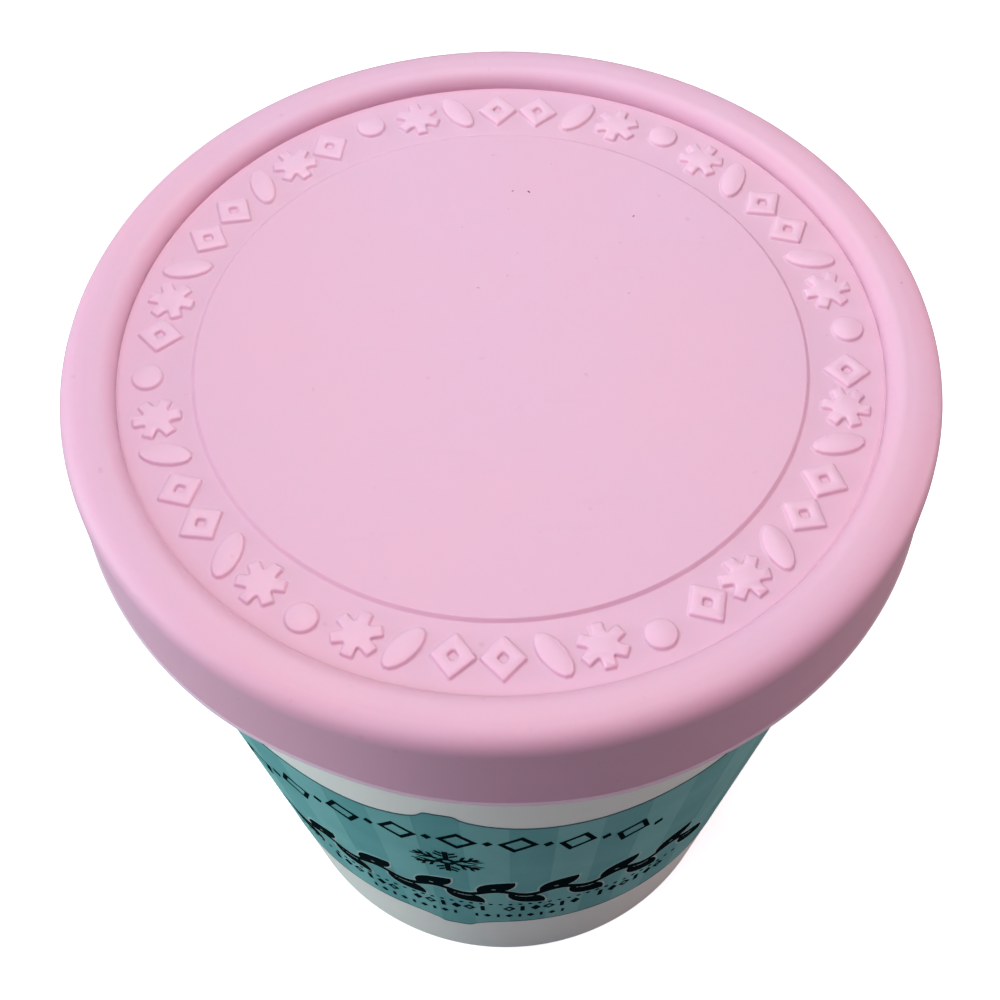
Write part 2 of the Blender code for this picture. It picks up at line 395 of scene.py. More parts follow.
EDGE_LINE_WIDTH = 0.00045
PANEL_FILM = 0.00004
STRIPE_FILM = 0.00006
EDGE_FILM = 0.00008
TEAL_DARK = (0.070, 0.362, 0.364, 1.0)
TEAL_LIGHT = (0.130, 0.445, 0.437, 1.0)
EDGE_TEAL = (0.022, 0.085, 0.095, 1.0)
FILM_ROUGHNESS = 0.34
FILM_SPECULAR = 0.12
FILM_IOR = 1.5
FILM_WORN = (1.5, 0.01)
FILM_SKIN_SCALES = (1900.0, 70.0)
FILM_SPECKS = (800.0, 0.02)
FILM_GRAIN_BUMP = (0.08, 0.00006)


def wall_radius(level):
    return TUB_FOOT_RADIUS + TUB_TAPER * level


def print_on_wall_tree():
    """Lays flat faces, x along the wall and y up it, on the tapered wall, with a film's thickness."""
    tree, given, result = new_group(
        "print_on_wall", "GeometryNodeTree",
        {
            "Flat": "NodeSocketGeometry", "Foot Radius": "NodeSocketFloat", "Taper": "NodeSocketFloat",
            "Row Radius": "NodeSocketFloat", "Film": "NodeSocketFloat", "Sink": "NodeSocketFloat",
            "Finish": "NodeSocketMaterial",
        },
        {"Print": "NodeSocketGeometry"},
    )
    position = add_node(tree, "GeometryNodeInputPosition").outputs[0]
    flat = add_node(tree, "ShaderNodeSeparateXYZ", wires={0: position})
    turn = maths(tree, "DIVIDE", flat.outputs["X"], given["Row Radius"])
    rise = maths(tree, "MULTIPLY", flat.outputs["Y"], given["Taper"])
    wall = maths(tree, "ADD", given["Foot Radius"], rise)
    radius = maths(tree, "SUBTRACT", wall, given["Sink"])
    place = place_round_axis(tree, radius, turn, flat.outputs["Y"])
    laid = add_node(tree, "GeometryNodeSetPosition", wires={"Geometry": given["Flat"], "Position": place})
    sheet = merged(tree, laid.outputs[0])
    thickness = maths(tree, "ADD", given["Film"], given["Sink"])
    raised = add_node(tree, "GeometryNodeExtrudeMesh", {"mode": "FACES"}, {
        "Mesh": sheet, "Offset Scale": thickness, "Individual": False,
    })
    back_face = add_node(tree, "GeometryNodeFlipFaces", wires={0: sheet})
    both = add_node(tree, "GeometryNodeJoinGeometry")
    tree.links.new(raised.outputs["Mesh"], both.inputs[0])
    tree.links.new(back_face.outputs[0], both.inputs[0])
    return end_tree(tree, given, result, merged(tree, both.outputs[0]))


PRINT_ON_WALL = print_on_wall_tree()
PRINT_SINK = 0.00004


def wall_inputs(level, film, finish):
    return {
        "Foot Radius": TUB_FOOT_RADIUS, "Taper": TUB_TAPER, "Row Radius": wall_radius(level),
        "Film": film, "Sink": PRINT_SINK, "Finish": finish,
    }


def smooth_level(keys, angle):
    """The level at an angle, on a smooth curve through keys (angle, level)."""
    for place in range(len(keys) - 1):
        (start, low), (end, high) = keys[place], keys[place + 1]
        if angle <= end or place == len(keys) - 2:
            break
    before = keys[place - 1] if place > 0 else keys[place]
    after = keys[place + 2] if place + 2 < len(keys) else keys[place + 1]
    slope_in = (high - before[1]) / (end - before[0])
    slope_out = (after[1] - low) / (after[0] - start)
    share, span = (angle - start) / (end - start), end - start
    return (
        (2 * share ** 3 - 3 * share ** 2 + 1) * low + (share ** 3 - 2 * share ** 2 + share) * span * slope_in
        + (3 * share ** 2 - 2 * share ** 3) * high + (share ** 3 - share ** 2) * span * slope_out
    )


def label_level(keys, angle):
    """The level of the panel's edge at an angle round the tub, for both halves of the label."""
    from_centre = (angle - LABEL_CENTRES[0] + LABEL_FOLD) % (2 * LABEL_FOLD) - LABEL_FOLD
    return smooth_level(keys, from_centre)


def flat_band(name, angles, low_of, high_of, level):
    """Upright columns between two edges, as flat faces. Each edge is a function of the angle."""
    scale = math.radians(1.0) * wall_radius(level)
    verts, faces = [], []
    for angle in angles:
        verts += [(angle * scale, low_of(angle), 0.0), (angle * scale, high_of(angle), 0.0)]
    for column in range(len(angles) - 1):
        k = 2 * column
        faces.append((k, k + 2, k + 3, k + 1))
    mesh = bpy.data.meshes.new(name)
    mesh.from_pydata(verts, [], faces)
    return mesh


def mesh_from(shape, name):
    mesh = bpy.data.meshes.new(name)
    shape.to_mesh(mesh)
    shape.free()
    return mesh


def joined_meshes(name, meshes):
    shape = bmesh.new()
    for mesh in meshes:
        shape.from_mesh(mesh)
        bpy.data.meshes.remove(mesh)
    return mesh_from(shape, name)


def angle_steps(start, end, step):
    count = max(1, round((end - start) / step))
    return [start + (end - start) * k / count for k in range(count + 1)]


def deeper(colour, share=0.88):
    return tuple(share * c for c in colour[:3]) + (1.0,)


def printed_film(name, colour, deep, roughness=FILM_ROUGHNESS, specular=FILM_SPECULAR):
    """Ink under clear film: the colour varies a little, and the film over it is satin."""
    material, tree, shader, broad, marks = skinned_finish(
        name, FILM_SKIN_SCALES, FILM_SPECKS, FILM_GRAIN_BUMP, (roughness - 0.03, roughness + 0.05), FILM_IOR,
    )
    inked = mixed_colour(tree, broad, colour, deep)
    worn = tuple(min(1.0, FILM_WORN[0] * c + FILM_WORN[1]) for c in colour[:3]) + (1.0,)
    speck_share = ranged(tree, marks["Specks"], 0.0, SPECK_STRENGTH)
    tree.links.new(mixed_colour(tree, speck_share, inked, worn), shader.inputs["Base Color"])
    shader.inputs["Specular IOR Level"].default_value = specular
    return material


def label_top(angle):
    return label_level(LABEL_TOP, angle)


def label_bottom(angle):
    return label_level(LABEL_BOTTOM, angle)


def shifted(edge, rise):
    return lambda angle: edge(angle) + rise


ALL_ROUND = angle_steps(-180.0, 180.0, LABEL_COLUMN)
dark_film = printed_film("film_dark_teal", TEAL_DARK, deeper(TEAL_DARK))
light_film = printed_film("film_light_teal", TEAL_LIGHT, deeper(TEAL_LIGHT))
edge_film = printed_film("film_edge_teal", EDGE_TEAL, deeper(EDGE_TEAL))
panel = grown_piece(
    "label_panel", flat_band("panel", ALL_ROUND, label_bottom, label_top, LABEL_LEVEL),
    PRINT_ON_WALL, wall_inputs(LABEL_LEVEL, PANEL_FILM, dark_film),
)
stripes = grown_piece(
    "label_stripes",
    joined_meshes("stripes", [
        flat_band(
            "stripe",
            angle_steps(centre - STRIPE_WIDTH / 2, centre + STRIPE_WIDTH / 2, LABEL_COLUMN),
            shifted(label_bottom, EDGE_LINE_WIDTH / 2), shifted(label_top, -EDGE_LINE_WIDTH / 2), LABEL_LEVEL,
        )
        for centre in (STRIPE_CENTRE + STRIPE_PITCH * (k - STRIPE_COUNT // 2) for k in range(STRIPE_COUNT))
    ]),
    PRINT_ON_WALL, wall_inputs(LABEL_LEVEL, STRIPE_FILM, light_film),
)
edge_lines = grown_piece(
    "label_edge_lines",
    joined_meshes("edges", [
        flat_band("top_line", ALL_ROUND, shifted(label_top, -EDGE_LINE_WIDTH), label_top, LABEL_LEVEL),
        flat_band(
            "bottom_line", ALL_ROUND, label_bottom, shifted(label_bottom, EDGE_LINE_WIDTH), LABEL_LEVEL,
        ),
    ]),
    PRINT_ON_WALL, wall_inputs(LABEL_LEVEL, EDGE_FILM, edge_film),
)
for piece, slot in ((panel, "label_teal"), (stripes, "label_teal"), (edge_lines, "label_ink")):
    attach(piece, "root")

# The label's ornament
# Dark ink on the teal panel, the same on both sides: an arched row of fine lozenges, a snowflake, a bold
# garland of leaves with a pale line round it, and three small rows of dots, bars and diamonds below.
INK = (0.003, 0.010, 0.012, 1.0)
INK_ROUGHNESS = 0.40
HALO = (0.34, 0.50, 0.48, 1.0)
HALO_DEEPER = 0.94
INK_FILM = 0.00011
HALO_FILM = 0.00009
ARCH_LEVEL = 0.0790
ARCH_DROP_PER_DEGREE_SQUARED = 0.0000058
ARCH_PITCH = 4.9
ARCH_PLACES = range(-8, 8)
ARCH_LOZENGE = (0.0062, 0.0086)
ARCH_STROKE = 0.00085
ARCH_DIAMOND = (0.0016, 0.0026)
SNOWFLAKE_LEVEL = 0.0655
SNOWFLAKE_RADIUS = 0.0058
SNOWFLAKE_BAR = 0.0009
SNOWFLAKE_RING = (0.30, 0.14)
SNOWFLAKE_BRANCHES = ((0.46, 0.30), (0.74, 0.22))
GARLAND_LEVEL = 0.0467
GARLAND_HALF_ANGLE = 45.0
GARLAND_CENTRE = 5.5
GARLAND_WAVE = 0.0014
GARLAND_WAVE_ANGLE = 12.0
GARLAND_STEM = 0.0020
GARLAND_LEAF = (0.0092, 0.0048)
GARLAND_LEAF_LEAN = 42.0
GARLAND_LEAF_SHIFT = 0.35
GARLAND_LEAF_OUT = 0.0001
GARLAND_HALO = 0.00042
LEAF_TIP_GROWTH = 1.6
DOT_ROW_LEVEL = 0.0382
DOT_ROW_RADIUS = 0.00036
DOT_ROW_SPREAD = (5.0, 2.0, 21)
SMALL_ROW_LEVEL = 0.0349
SMALL_ROW_SPREAD = (8.0, 2.75, 13)
SMALL_ROW_GAP = 7
SMALL_DIAMOND = (0.0017, 0.0034)
SMALL_LOZENGE = (0.0021, 0.0034, 0.00042)
SMALL_BAR = (0.0007, 0.0032)
TINY_ROW_LEVEL = 0.0294
TINY_ROW_SPREAD = (1.5, 2.3, 9)
TINY_ROW_GAP = 10
TINY_DIAMOND = (0.0013, 0.0022)
TINY_BAR = (0.0005, 0.0020)


def figures_at_points_tree():
    """Puts a figure from a collection on each point, by the point's own figure number, turn and size."""
    tree, given, result = new_group(
        "figures_at_points", "GeometryNodeTree",
        {"Points": "NodeSocketGeometry", "Figures": "NodeSocketCollection", "Finish": "NodeSocketMaterial"},
        {"Shapes": "NodeSocketGeometry"},
    )
    figures = add_node(tree, "GeometryNodeCollectionInfo", wires={
        "Collection": given["Figures"], "Separate Children": True, "Reset Children": True,
    })

    def own(name, kind):
        value = add_node(tree, "GeometryNodeInputNamedAttribute", {"data_type": kind}, {"Name": name})
        return value.outputs[0]

    turned = add_node(tree, "ShaderNodeCombineXYZ", wires={"Z": own("turn", "FLOAT")})
    sized = add_node(tree, "ShaderNodeCombineXYZ", wires=dict.fromkeys("XYZ", own("size", "FLOAT")))
    placed = add_node(tree, "GeometryNodeInstanceOnPoints", wires={
        "Points": given["Points"], "Instance": figures.outputs[0], "Pick Instance": True,
        "Instance Index": own("figure", "INT"), "Rotation": turned.outputs[0], "Scale": sized.outputs[0],
    })
    return end_tree(tree, given, result, placed.outputs[0])


FIGURES_AT_POINTS = figures_at_points_tree()


def printed_row_tree():
    """A row of flat figures, laid on the tapered wall."""
    wall_sockets = {
        item.name: item.socket_type for item in PRINT_ON_WALL.interface.items_tree if item.in_out == "INPUT"
    }
    del wall_sockets["Flat"]
    tree, given, result = new_group(
        "printed_row", "GeometryNodeTree",
        {"Points": "NodeSocketGeometry", "Figures": "NodeSocketCollection", **wall_sockets},
        {"Print": "NodeSocketGeometry"},
    )
    row = add_node(tree, "GeometryNodeGroup", {"node_tree": FIGURES_AT_POINTS}, {
        name: given[name] for name in ("Points", "Figures", "Finish")
    })
    laid = add_node(tree, "GeometryNodeGroup", {"node_tree": PRINT_ON_WALL}, {
        "Flat": row.outputs[0], **{name: given[name] for name in wall_sockets},
    })
    return end_tree(tree, given, result, laid.outputs[0])


PRINTED_ROW = printed_row_tree()


def figure_collection(name, meshes):
    """A collection with one object for each mesh, whose names keep their order."""
    group = bpy.data.collections.new(name)
    for number, mesh in enumerate(meshes):
        group.objects.link(bpy.data.objects.new(f"{name}_{number:02d}", mesh))
    return group


def points_mesh(name, places):
    """Loose points from (place, figure, turn, size)."""
    mesh = bpy.data.meshes.new(name)
    mesh.from_pydata([place[0] for place in places], [], [])
    for label, kind, column in (("figure", "INT", 1), ("turn", "FLOAT", 2), ("size", "FLOAT", 3)):
        values = mesh.attributes.new(label, kind, "POINT")
        values.data.foreach_set("value", [place[column] for place in places])
    return mesh


def drop_figures(group):
    for figure in list(group.objects):
        bpy.data.objects.remove(figure)
    bpy.data.collections.remove(group)


def flat_faces(name, polygons):
    """A flat mesh with one face for each polygon, all facing up."""
    shape = bmesh.new()
    for polygon in polygons:
        face = shape.faces.new([shape.verts.new((x, y, 0.0)) for x, y in polygon])
        face.normal_update()
        if face.normal.z < 0.0:
            face.normal_flip()
    bmesh.ops.remove_doubles(shape, verts=shape.verts, dist=MERGE_DISTANCE)
    return mesh_from(shape, name)


def ring_of_points(radius, count, start=0.0):
    turns = [start + math.tau * k / count for k in range(count)]
    return [(radius * math.cos(turn), radius * math.sin(turn)) for turn in turns]


def between_loops(outer, inner):
    count = len(outer)
    return [(outer[k], outer[(k + 1) % count], inner[(k + 1) % count], inner[k]) for k in range(count)]


def lozenge(width, height):
    return [(width / 2, 0.0), (0.0, height / 2), (-width / 2, 0.0), (0.0, -height / 2)]


def lozenge_frame(width, height, stroke):
    outer = lozenge(width, height)
    inner_share = 1 - 2 * stroke * math.hypot(width, height) / (width * height)
    return between_loops(outer, [(x * inner_share, y * inner_share) for x, y in outer])


def diamond(width, height):
    return [lozenge(width, height)]


def bar(width, height):
    x, y = width / 2, height / 2
    return [[(x, -y), (x, y), (-x, y), (-x, -y)]]


def leaf(length, width, grow, steps=8):
    """A pointed leaf from (0, 0) along +Y, as short bands across it, grown by a margin all round."""
    def half_width(share):
        return 0.5 * width * math.sin(math.pi * share) ** 0.8 + grow

    rows = [(half_width(step / steps), length * step / steps) for step in range(1, steps)]
    tip = LEAF_TIP_GROWTH * grow
    polygons = [[(0.0, -tip), (rows[0][0], rows[0][1]), (-rows[0][0], rows[0][1])]]
    for (low_half, low), (high_half, high) in zip(rows, rows[1:]):
        polygons.append([(low_half, low), (high_half, high), (-high_half, high), (-low_half, low)])
    polygons.append([(rows[-1][0], rows[-1][1]), (0.0, length + tip), (-rows[-1][0], rows[-1][1])])
    return polygons


def snowflake(radius, stroke):
    """Six bars round a hexagon ring, each with two pairs of short slanting bars beside it."""
    def turned(points, turn):
        cosine, sine = math.cos(turn), math.sin(turn)
        return [(x * cosine - y * sine, x * sine + y * cosine) for x, y in points]

    ring, hole = (share * radius for share in SNOWFLAKE_RING)
    polygons = between_loops(ring_of_points(ring, 6), ring_of_points(hole, 6))
    half = stroke / 2
    near = 1.25 * half
    for arm in range(6):
        turn = arm * math.pi / 3 + math.pi / 6
        polygons.append(turned([(ring, -half), (radius, -half), (radius, half), (ring, half)], turn))
        for start, length in ((at * radius, share * radius) for at, share in SNOWFLAKE_BRANCHES):
            end, far = start + 0.7 * length, near + 0.75 * length
            for side in (-1, 1):
                slant = [
                    (start, side * near), (start + 1.5 * half, side * near),
                    (end + 1.5 * half, side * far), (end, side * far),
                ]
                polygons.append(turned(slant, turn))
    return polygons


def row_place(angle, level, row_level, figure=0, turn=0.0, size=1.0):
    """A point of a printed row, at an angle round the tub and a level on its wall."""
    return (math.radians(angle) * wall_radius(row_level), level, 0.0), figure, turn, size


def level_row(spread, level, figures=1, gap=None):
    """A row's places, from (middle angle, pitch, reach), with its figures in turn and its gaps."""
    middle, pitch, reach = spread
    return [
        row_place(centre + middle + pitch * place, level, level, place % figures)
        for centre in LABEL_CENTRES for place in range(-reach, reach + 1) if gap is None or place % gap != 0
    ]


def printed_row(name, polygons, places, row_level, film, finish):
    group = figure_collection(name + "_figures", [flat_faces("figure", shape) for shape in polygons])
    inputs = wall_inputs(row_level, film, finish)
    piece = grown_piece(name, points_mesh(name, places), PRINTED_ROW, {**inputs, "Figures": group})
    drop_figures(group)
    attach(piece, "root")


ink_finish = printed_film("film_dark_ink", INK, deeper(INK), INK_ROUGHNESS, 0.0)
halo_finish = printed_film("film_pale_halo", HALO, deeper(HALO, HALO_DEEPER))

arch_places = []
for centre in LABEL_CENTRES:
    for place in ARCH_PLACES:
        offset = ARCH_PITCH * (place + 0.5)
        level = ARCH_LEVEL - ARCH_DROP_PER_DEGREE_SQUARED * offset ** 2
        degree = math.radians(1.0) * wall_radius(level)
        tilt = math.atan(-2 * ARCH_DROP_PER_DEGREE_SQUARED * offset / degree)
        arch_places.append(row_place(centre + offset, level, ARCH_LEVEL, place % 2, tilt))
printed_row(
    "label_lozenge_row", (lozenge_frame(*ARCH_LOZENGE, ARCH_STROKE), diamond(*ARCH_DIAMOND)),
    arch_places, ARCH_LEVEL, INK_FILM, ink_finish,
)
printed_row(
    "label_snowflake", (snowflake(SNOWFLAKE_RADIUS, SNOWFLAKE_BAR),),
    [row_place(centre, SNOWFLAKE_LEVEL, SNOWFLAKE_LEVEL) for centre in LABEL_CENTRES],
    SNOWFLAKE_LEVEL, INK_FILM, ink_finish,
)


def garland_level(offset):
    return GARLAND_LEVEL + GARLAND_WAVE * math.sin(math.tau * offset / GARLAND_WAVE_ANGLE)


def garland(grow):
    """The stem as flat bands, and the leaves' places, with a margin all round."""
    stems, places = [], []
    for centre in LABEL_CENTRES:
        middle = centre + GARLAND_CENTRE
        reach = GARLAND_HALF_ANGLE
        half = GARLAND_STEM / 2 + grow
        stems.append(flat_band(
            "stem", angle_steps(middle - reach, middle + reach, LABEL_COLUMN),
            lambda angle, at=middle: garland_level(angle - at) - half,
            lambda angle, at=middle: garland_level(angle - at) + half, GARLAND_LEVEL,
        ))
        count = round(2 * reach / (GARLAND_WAVE_ANGLE / 2))
        for place in range(count):
            offset = -reach + (place + GARLAND_LEAF_SHIFT) * GARLAND_WAVE_ANGLE / 2
            up = 1 if place % 2 else -1
            level = garland_level(offset) + up * (GARLAND_STEM / 2 + GARLAND_LEAF_OUT)
            lean = math.radians(GARLAND_LEAF_LEAN)
            turn = -lean if up > 0 else math.pi + lean
            places.append(row_place(middle + offset, level, GARLAND_LEVEL, 0, turn))
    return stems, places


for name, grow, film, finish in (
    ("label_garland_halo", GARLAND_HALO, HALO_FILM, halo_finish),
    ("label_garland", 0.0, INK_FILM, ink_finish),
):
    stems, leaf_places = garland(grow)
    stem = grown_piece(
        name + "_stem", joined_meshes("stems", stems),
        PRINT_ON_WALL, wall_inputs(GARLAND_LEVEL, film, finish),
    )
    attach(stem, "root")
    printed_row(name + "_leaves", (leaf(*GARLAND_LEAF, grow),), leaf_places, GARLAND_LEVEL, film, finish)

printed_row(
    "label_dot_row", ([ring_of_points(DOT_ROW_RADIUS, 12)],), level_row(DOT_ROW_SPREAD, DOT_ROW_LEVEL),
    DOT_ROW_LEVEL, INK_FILM, ink_finish,
)
printed_row(
    "label_small_row", (diamond(*SMALL_DIAMOND), lozenge_frame(*SMALL_LOZENGE), bar(*SMALL_BAR)),
    level_row(SMALL_ROW_SPREAD, SMALL_ROW_LEVEL, 3, SMALL_ROW_GAP), SMALL_ROW_LEVEL, INK_FILM, ink_finish,
)
printed_row(
    "label_tiny_row", (diamond(*TINY_DIAMOND), bar(*TINY_BAR)),
    level_row(TINY_ROW_SPREAD, TINY_ROW_LEVEL, 2, TINY_ROW_GAP), TINY_ROW_LEVEL, INK_FILM, ink_finish,
)

# The lid
# A soft cap, moulded in one piece of matte pink silicone and pressed over the tub's rim. Inside its raised
# rim lies a sunken band with raised figures, round a flat disc. Its skirt hangs a little crooked.
LID_SIDES = 288
LID_RADIUS = 0.0608
LID_WALL = 0.0017
LID_TOP_THICKNESS = 0.0020
LID_EDGE_ROUND = 0.0031
LID_CREST_ROUND = 0.0060
LID_SMALL_ROUND = 0.0003
LID_RIM_CREST_RADIUS = 0.0572
LID_RIM_FALL = 0.0006
LID_RIM_INNER_ROUND = 0.0026
LID_BAND_OUTER_RADIUS = 0.0531
LID_GROOVE_WIDTH = 0.0004
LID_GROOVE_DEPTH = 0.00010
LID_GROOVE_ROUNDS = (0.00008, 0.0002)
LID_BAND_DEPTH = 0.0025
LID_DISC_RADIUS = 0.0425
LID_DISC_STEP = 0.00048
LID_GAP = 0.0003
LIP_HEIGHT = 0.0006
LIP_PROUD = 0.00030
LIP_ROUND = 0.00010
SKIRT_SLOPE = 0.0005
# Each wave of the skirt's lower edge is (angle, width in degrees, rise).
SKIRT_WAVES = ((-24.0, 12.0, 0.0011), (14.0, 10.0, -0.0007))
SILICONE_PINK = (0.660, 0.345, 0.445, 1.0)
SILICONE_LILAC = (0.640, 0.350, 0.470, 1.0)
# Painted highlight: the raised figures are the lid's own silicone, coloured a little lighter for the light
# that their tops catch.
FIGURE_PINK_PAINTED_HIGHLIGHT = (0.710, 0.388, 0.492, 1.0)
FIGURE_LILAC_PAINTED_HIGHLIGHT = (0.690, 0.392, 0.515, 1.0)
SILICONE_DIRT = (0.40, 0.21, 0.27, 1.0)
# Painted light: the skirt's lip is coloured lighter and greyer for light catching its top and shining through
# it.
SILICONE_LIP_PAINTED_LIGHT = (0.66, 0.48, 0.55, 1.0)
SILICONE_ROUGHNESS = (0.50, 0.57)
SILICONE_IOR = 1.41
SILICONE_SKIN_SCALES = (3200.0, 28.0)
SILICONE_SPECKS = (560.0, 0.045)
SILICONE_SPECK_STRENGTH = 0.22
SILICONE_SCUFF_STRENGTH = 0.05
SILICONE_GRAIN_BUMP = (0.14, 0.00008)
SILICONE_DEPTH = 0.0012
SILICONE_DEPTH_BY_COLOUR = (1.0, 0.50, 0.60)
SILICONE_DEPTH_SHARE = 0.25
FIGURE_RELIEF = 0.0006
FIGURE_CORNER_ROUND = 0.00035
FIGURE_SHARP_BEND = 25.0
FIGURE_STATIONS = (
    (0.00026, -0.0003), (0.00026, 0.0), (0.00013, 0.00004), (0.00005, 0.00012), (0.0, 0.00026),
    (-0.00006, 0.00041), (-0.00015, 0.00052), (-0.00028, FIGURE_RELIEF),
)
FIGURE_RING_RADIUS = 0.0478
FIGURE_HEIGHT = 0.0066
LOZENGE_WIDTH = 0.0060
LOZENGE_OPENING = 0.26
LEAF_LENGTH = 0.0072
LEAF_WIDTH = 0.0034
LEAF_LEAN = 28.0
STAR_ARMS = 6
STAR_BAR_WIDTH = 0.0017
DOT_RADIUS = 0.00215
DOT_SIDES = 32
DOT_RING_RADIUS = 0.04875
FIRST_DOT_ANGLE = -86.0
GROUP_MARGIN = 5.0
SHORT_GROUP = ("star", "leaf_left", "lozenge", "lozenge", "leaf_right", "star")
LONG_GROUP = ("lozenge", "star", "leaf_left", "lozenge", "lozenge", "leaf_right", "star", "lozenge")
GROUPS = ((54.75, SHORT_GROUP), (54.75, SHORT_GROUP), (70.5, LONG_GROUP)) * 2


def pink_silicone(name, pink, lilac):
    material, tree, shader, broad, marks = skinned_finish(
        name, SILICONE_SKIN_SCALES, SILICONE_SPECKS, SILICONE_GRAIN_BUMP, SILICONE_ROUGHNESS, SILICONE_IOR,
    )
    colour = mixed_colour(tree, broad, pink, lilac)
    for mark, strength in (("Specks", SILICONE_SPECK_STRENGTH), ("Scuffs", SILICONE_SCUFF_STRENGTH)):
        colour = mixed_colour(tree, ranged(tree, marks[mark], 0.0, strength), colour, SILICONE_DIRT)
    # Painted light on the lip: a lighter, greyer colour where the lip is marked.
    painted_lip_light = add_node(tree, "ShaderNodeAttribute", {"attribute_name": "lip_painted_light"}).outputs["Fac"]
    tree.links.new(mixed_colour(tree, painted_lip_light, colour, SILICONE_LIP_PAINTED_LIGHT), shader.inputs["Base Color"])
    shader.inputs["Subsurface Weight"].default_value = SILICONE_DEPTH_SHARE
    shader.inputs["Subsurface Radius"].default_value = SILICONE_DEPTH_BY_COLOUR
    shader.inputs["Subsurface Scale"].default_value = SILICONE_DEPTH
    return material


def lid_corners():
    """The lid's outline as (r, z, rounding), from the middle of its underside round to that of its top."""
    lid_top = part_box("lid")[1].z
    skirt_bottom = TUB_WALL_LEVEL_HIGH
    inner_radius = LID_RADIUS - LID_WALL
    channel_radius = inner_radius - TUB_RIM_WIDTH - 2 * LID_GAP
    band_level = lid_top - LID_BAND_DEPTH
    disc_level = band_level + LID_DISC_STEP
    return [
        (0.0, band_level - LID_TOP_THICKNESS, 0.0),
        (channel_radius - LID_GAP, band_level - LID_TOP_THICKNESS, 0.0),
        (channel_radius, lid_top - LID_TOP_THICKNESS, 0.0),
        (inner_radius, lid_top - LID_TOP_THICKNESS, LID_SMALL_ROUND),
        (inner_radius, skirt_bottom, LID_SMALL_ROUND),
        (LID_RADIUS + LIP_PROUD, skirt_bottom, LIP_ROUND),
        (LID_RADIUS, skirt_bottom + LIP_HEIGHT, LID_SMALL_ROUND),
        (LID_RADIUS, lid_top - LID_RIM_FALL, LID_EDGE_ROUND),
        (LID_RIM_CREST_RADIUS, lid_top, LID_CREST_ROUND),
        (LID_BAND_OUTER_RADIUS, lid_top, LID_RIM_INNER_ROUND),
        (LID_BAND_OUTER_RADIUS, band_level - LID_GROOVE_DEPTH, LID_GROOVE_ROUNDS[0]),
        (LID_BAND_OUTER_RADIUS - LID_GROOVE_WIDTH, band_level, LID_GROOVE_ROUNDS[1]),
        (LID_DISC_RADIUS + LID_DISC_STEP / 2, band_level, LID_SMALL_ROUND),
        (LID_DISC_RADIUS - LID_DISC_STEP / 2, disc_level, LID_SMALL_ROUND),
        (0.0, disc_level, 0.0),
    ]


def skirt_rise(angle):
    rise = -SKIRT_SLOPE * math.sin(math.radians(angle))
    for centre, width, height in SKIRT_WAVES:
        rise += height * math.exp(-((angle - centre) / width) ** 2)
    return rise


def hang_skirt(mesh):
    """Marks the skirt's lip, where light is painted in as a lighter, greyer colour, and moves it to its
    uneven level.
    """
    painted_lip_light = mesh.attributes.new("lip_painted_light", "FLOAT", "POINT")
    for corner in mesh.vertices:
        above = corner.co.z - TUB_WALL_LEVEL_HIGH
        if above < LIP_HEIGHT:
            painted_lip_light.data[corner.index].value = 1.0
        if above < 2 * LIP_HEIGHT:
            corner.co.z += skirt_rise(math.degrees(math.atan2(corner.co.x, -corner.co.y)))


def lozenge_loops():
    outer = lozenge(LOZENGE_WIDTH, FIGURE_HEIGHT)
    return [outer, [(LOZENGE_OPENING * x, LOZENGE_OPENING * y) for x, y in outer]]


def leaf_loops(lean):
    steps = 8
    side = []
    for step in range(steps):
        turn = math.pi * step / steps
        side.append((LEAF_WIDTH / 2 * math.sin(turn), LEAF_LENGTH / 2 * math.cos(turn)))
    outline = side + [(-x, -y) for x, y in side]
    cosine, sine = math.cos(math.radians(lean)), math.sin(math.radians(lean))
    return [[(x * cosine + y * sine, y * cosine - x * sine) for x, y in outline][::-1]]


def star_loops():
    reach, half_bar = FIGURE_HEIGHT / 2, STAR_BAR_WIDTH / 2
    half_turn = math.pi / STAR_ARMS
    notch = half_bar / math.sin(half_turn)
    outline = []
    for arm in range(STAR_ARMS):
        turn = math.pi / 2 + 2 * half_turn * arm
        along = (math.cos(turn), math.sin(turn))
        for side in (-half_bar, half_bar):
            outline.append((reach * along[0] - side * along[1], reach * along[1] + side * along[0]))
        between = turn + half_turn
        outline.append((notch * math.cos(between), notch * math.sin(between)))
    return [outline]


def softened_loop(loop, radius, steps=3):
    """A closed outline with each sharp corner rounded."""
    count = len(loop)
    points = []
    for place in range(count):
        here = Vector(loop[place])
        before = Vector(loop[place - 1]) - here
        after = Vector(loop[(place + 1) % count]) - here
        bend = math.pi - before.angle(after)
        if bend < math.radians(FIGURE_SHARP_BEND):
            points.append(here)
            continue
        reach = min(radius * math.tan(bend / 2), 0.45 * before.length, 0.45 * after.length)
        start, end = here + before.normalized() * reach, here + after.normalized() * reach
        for step in range(steps + 1):
            share = step / steps
            points.append((1 - share) ** 2 * start + 2 * share * (1 - share) * here + share ** 2 * end)
    return points


def grown_loop(loop, margin):
    """A closed outline, run anticlockwise, moved outwards by a margin."""
    count = len(loop)
    points = []
    for place in range(count):
        before = (loop[place] - loop[place - 1]).normalized()
        after = (loop[(place + 1) % count] - loop[place]).normalized()
        normal = Vector((before.y + after.y, -before.x - after.x)) / 2
        points.append(loop[place] + normal * (margin / max(normal.length_squared, 0.3)))
    return points


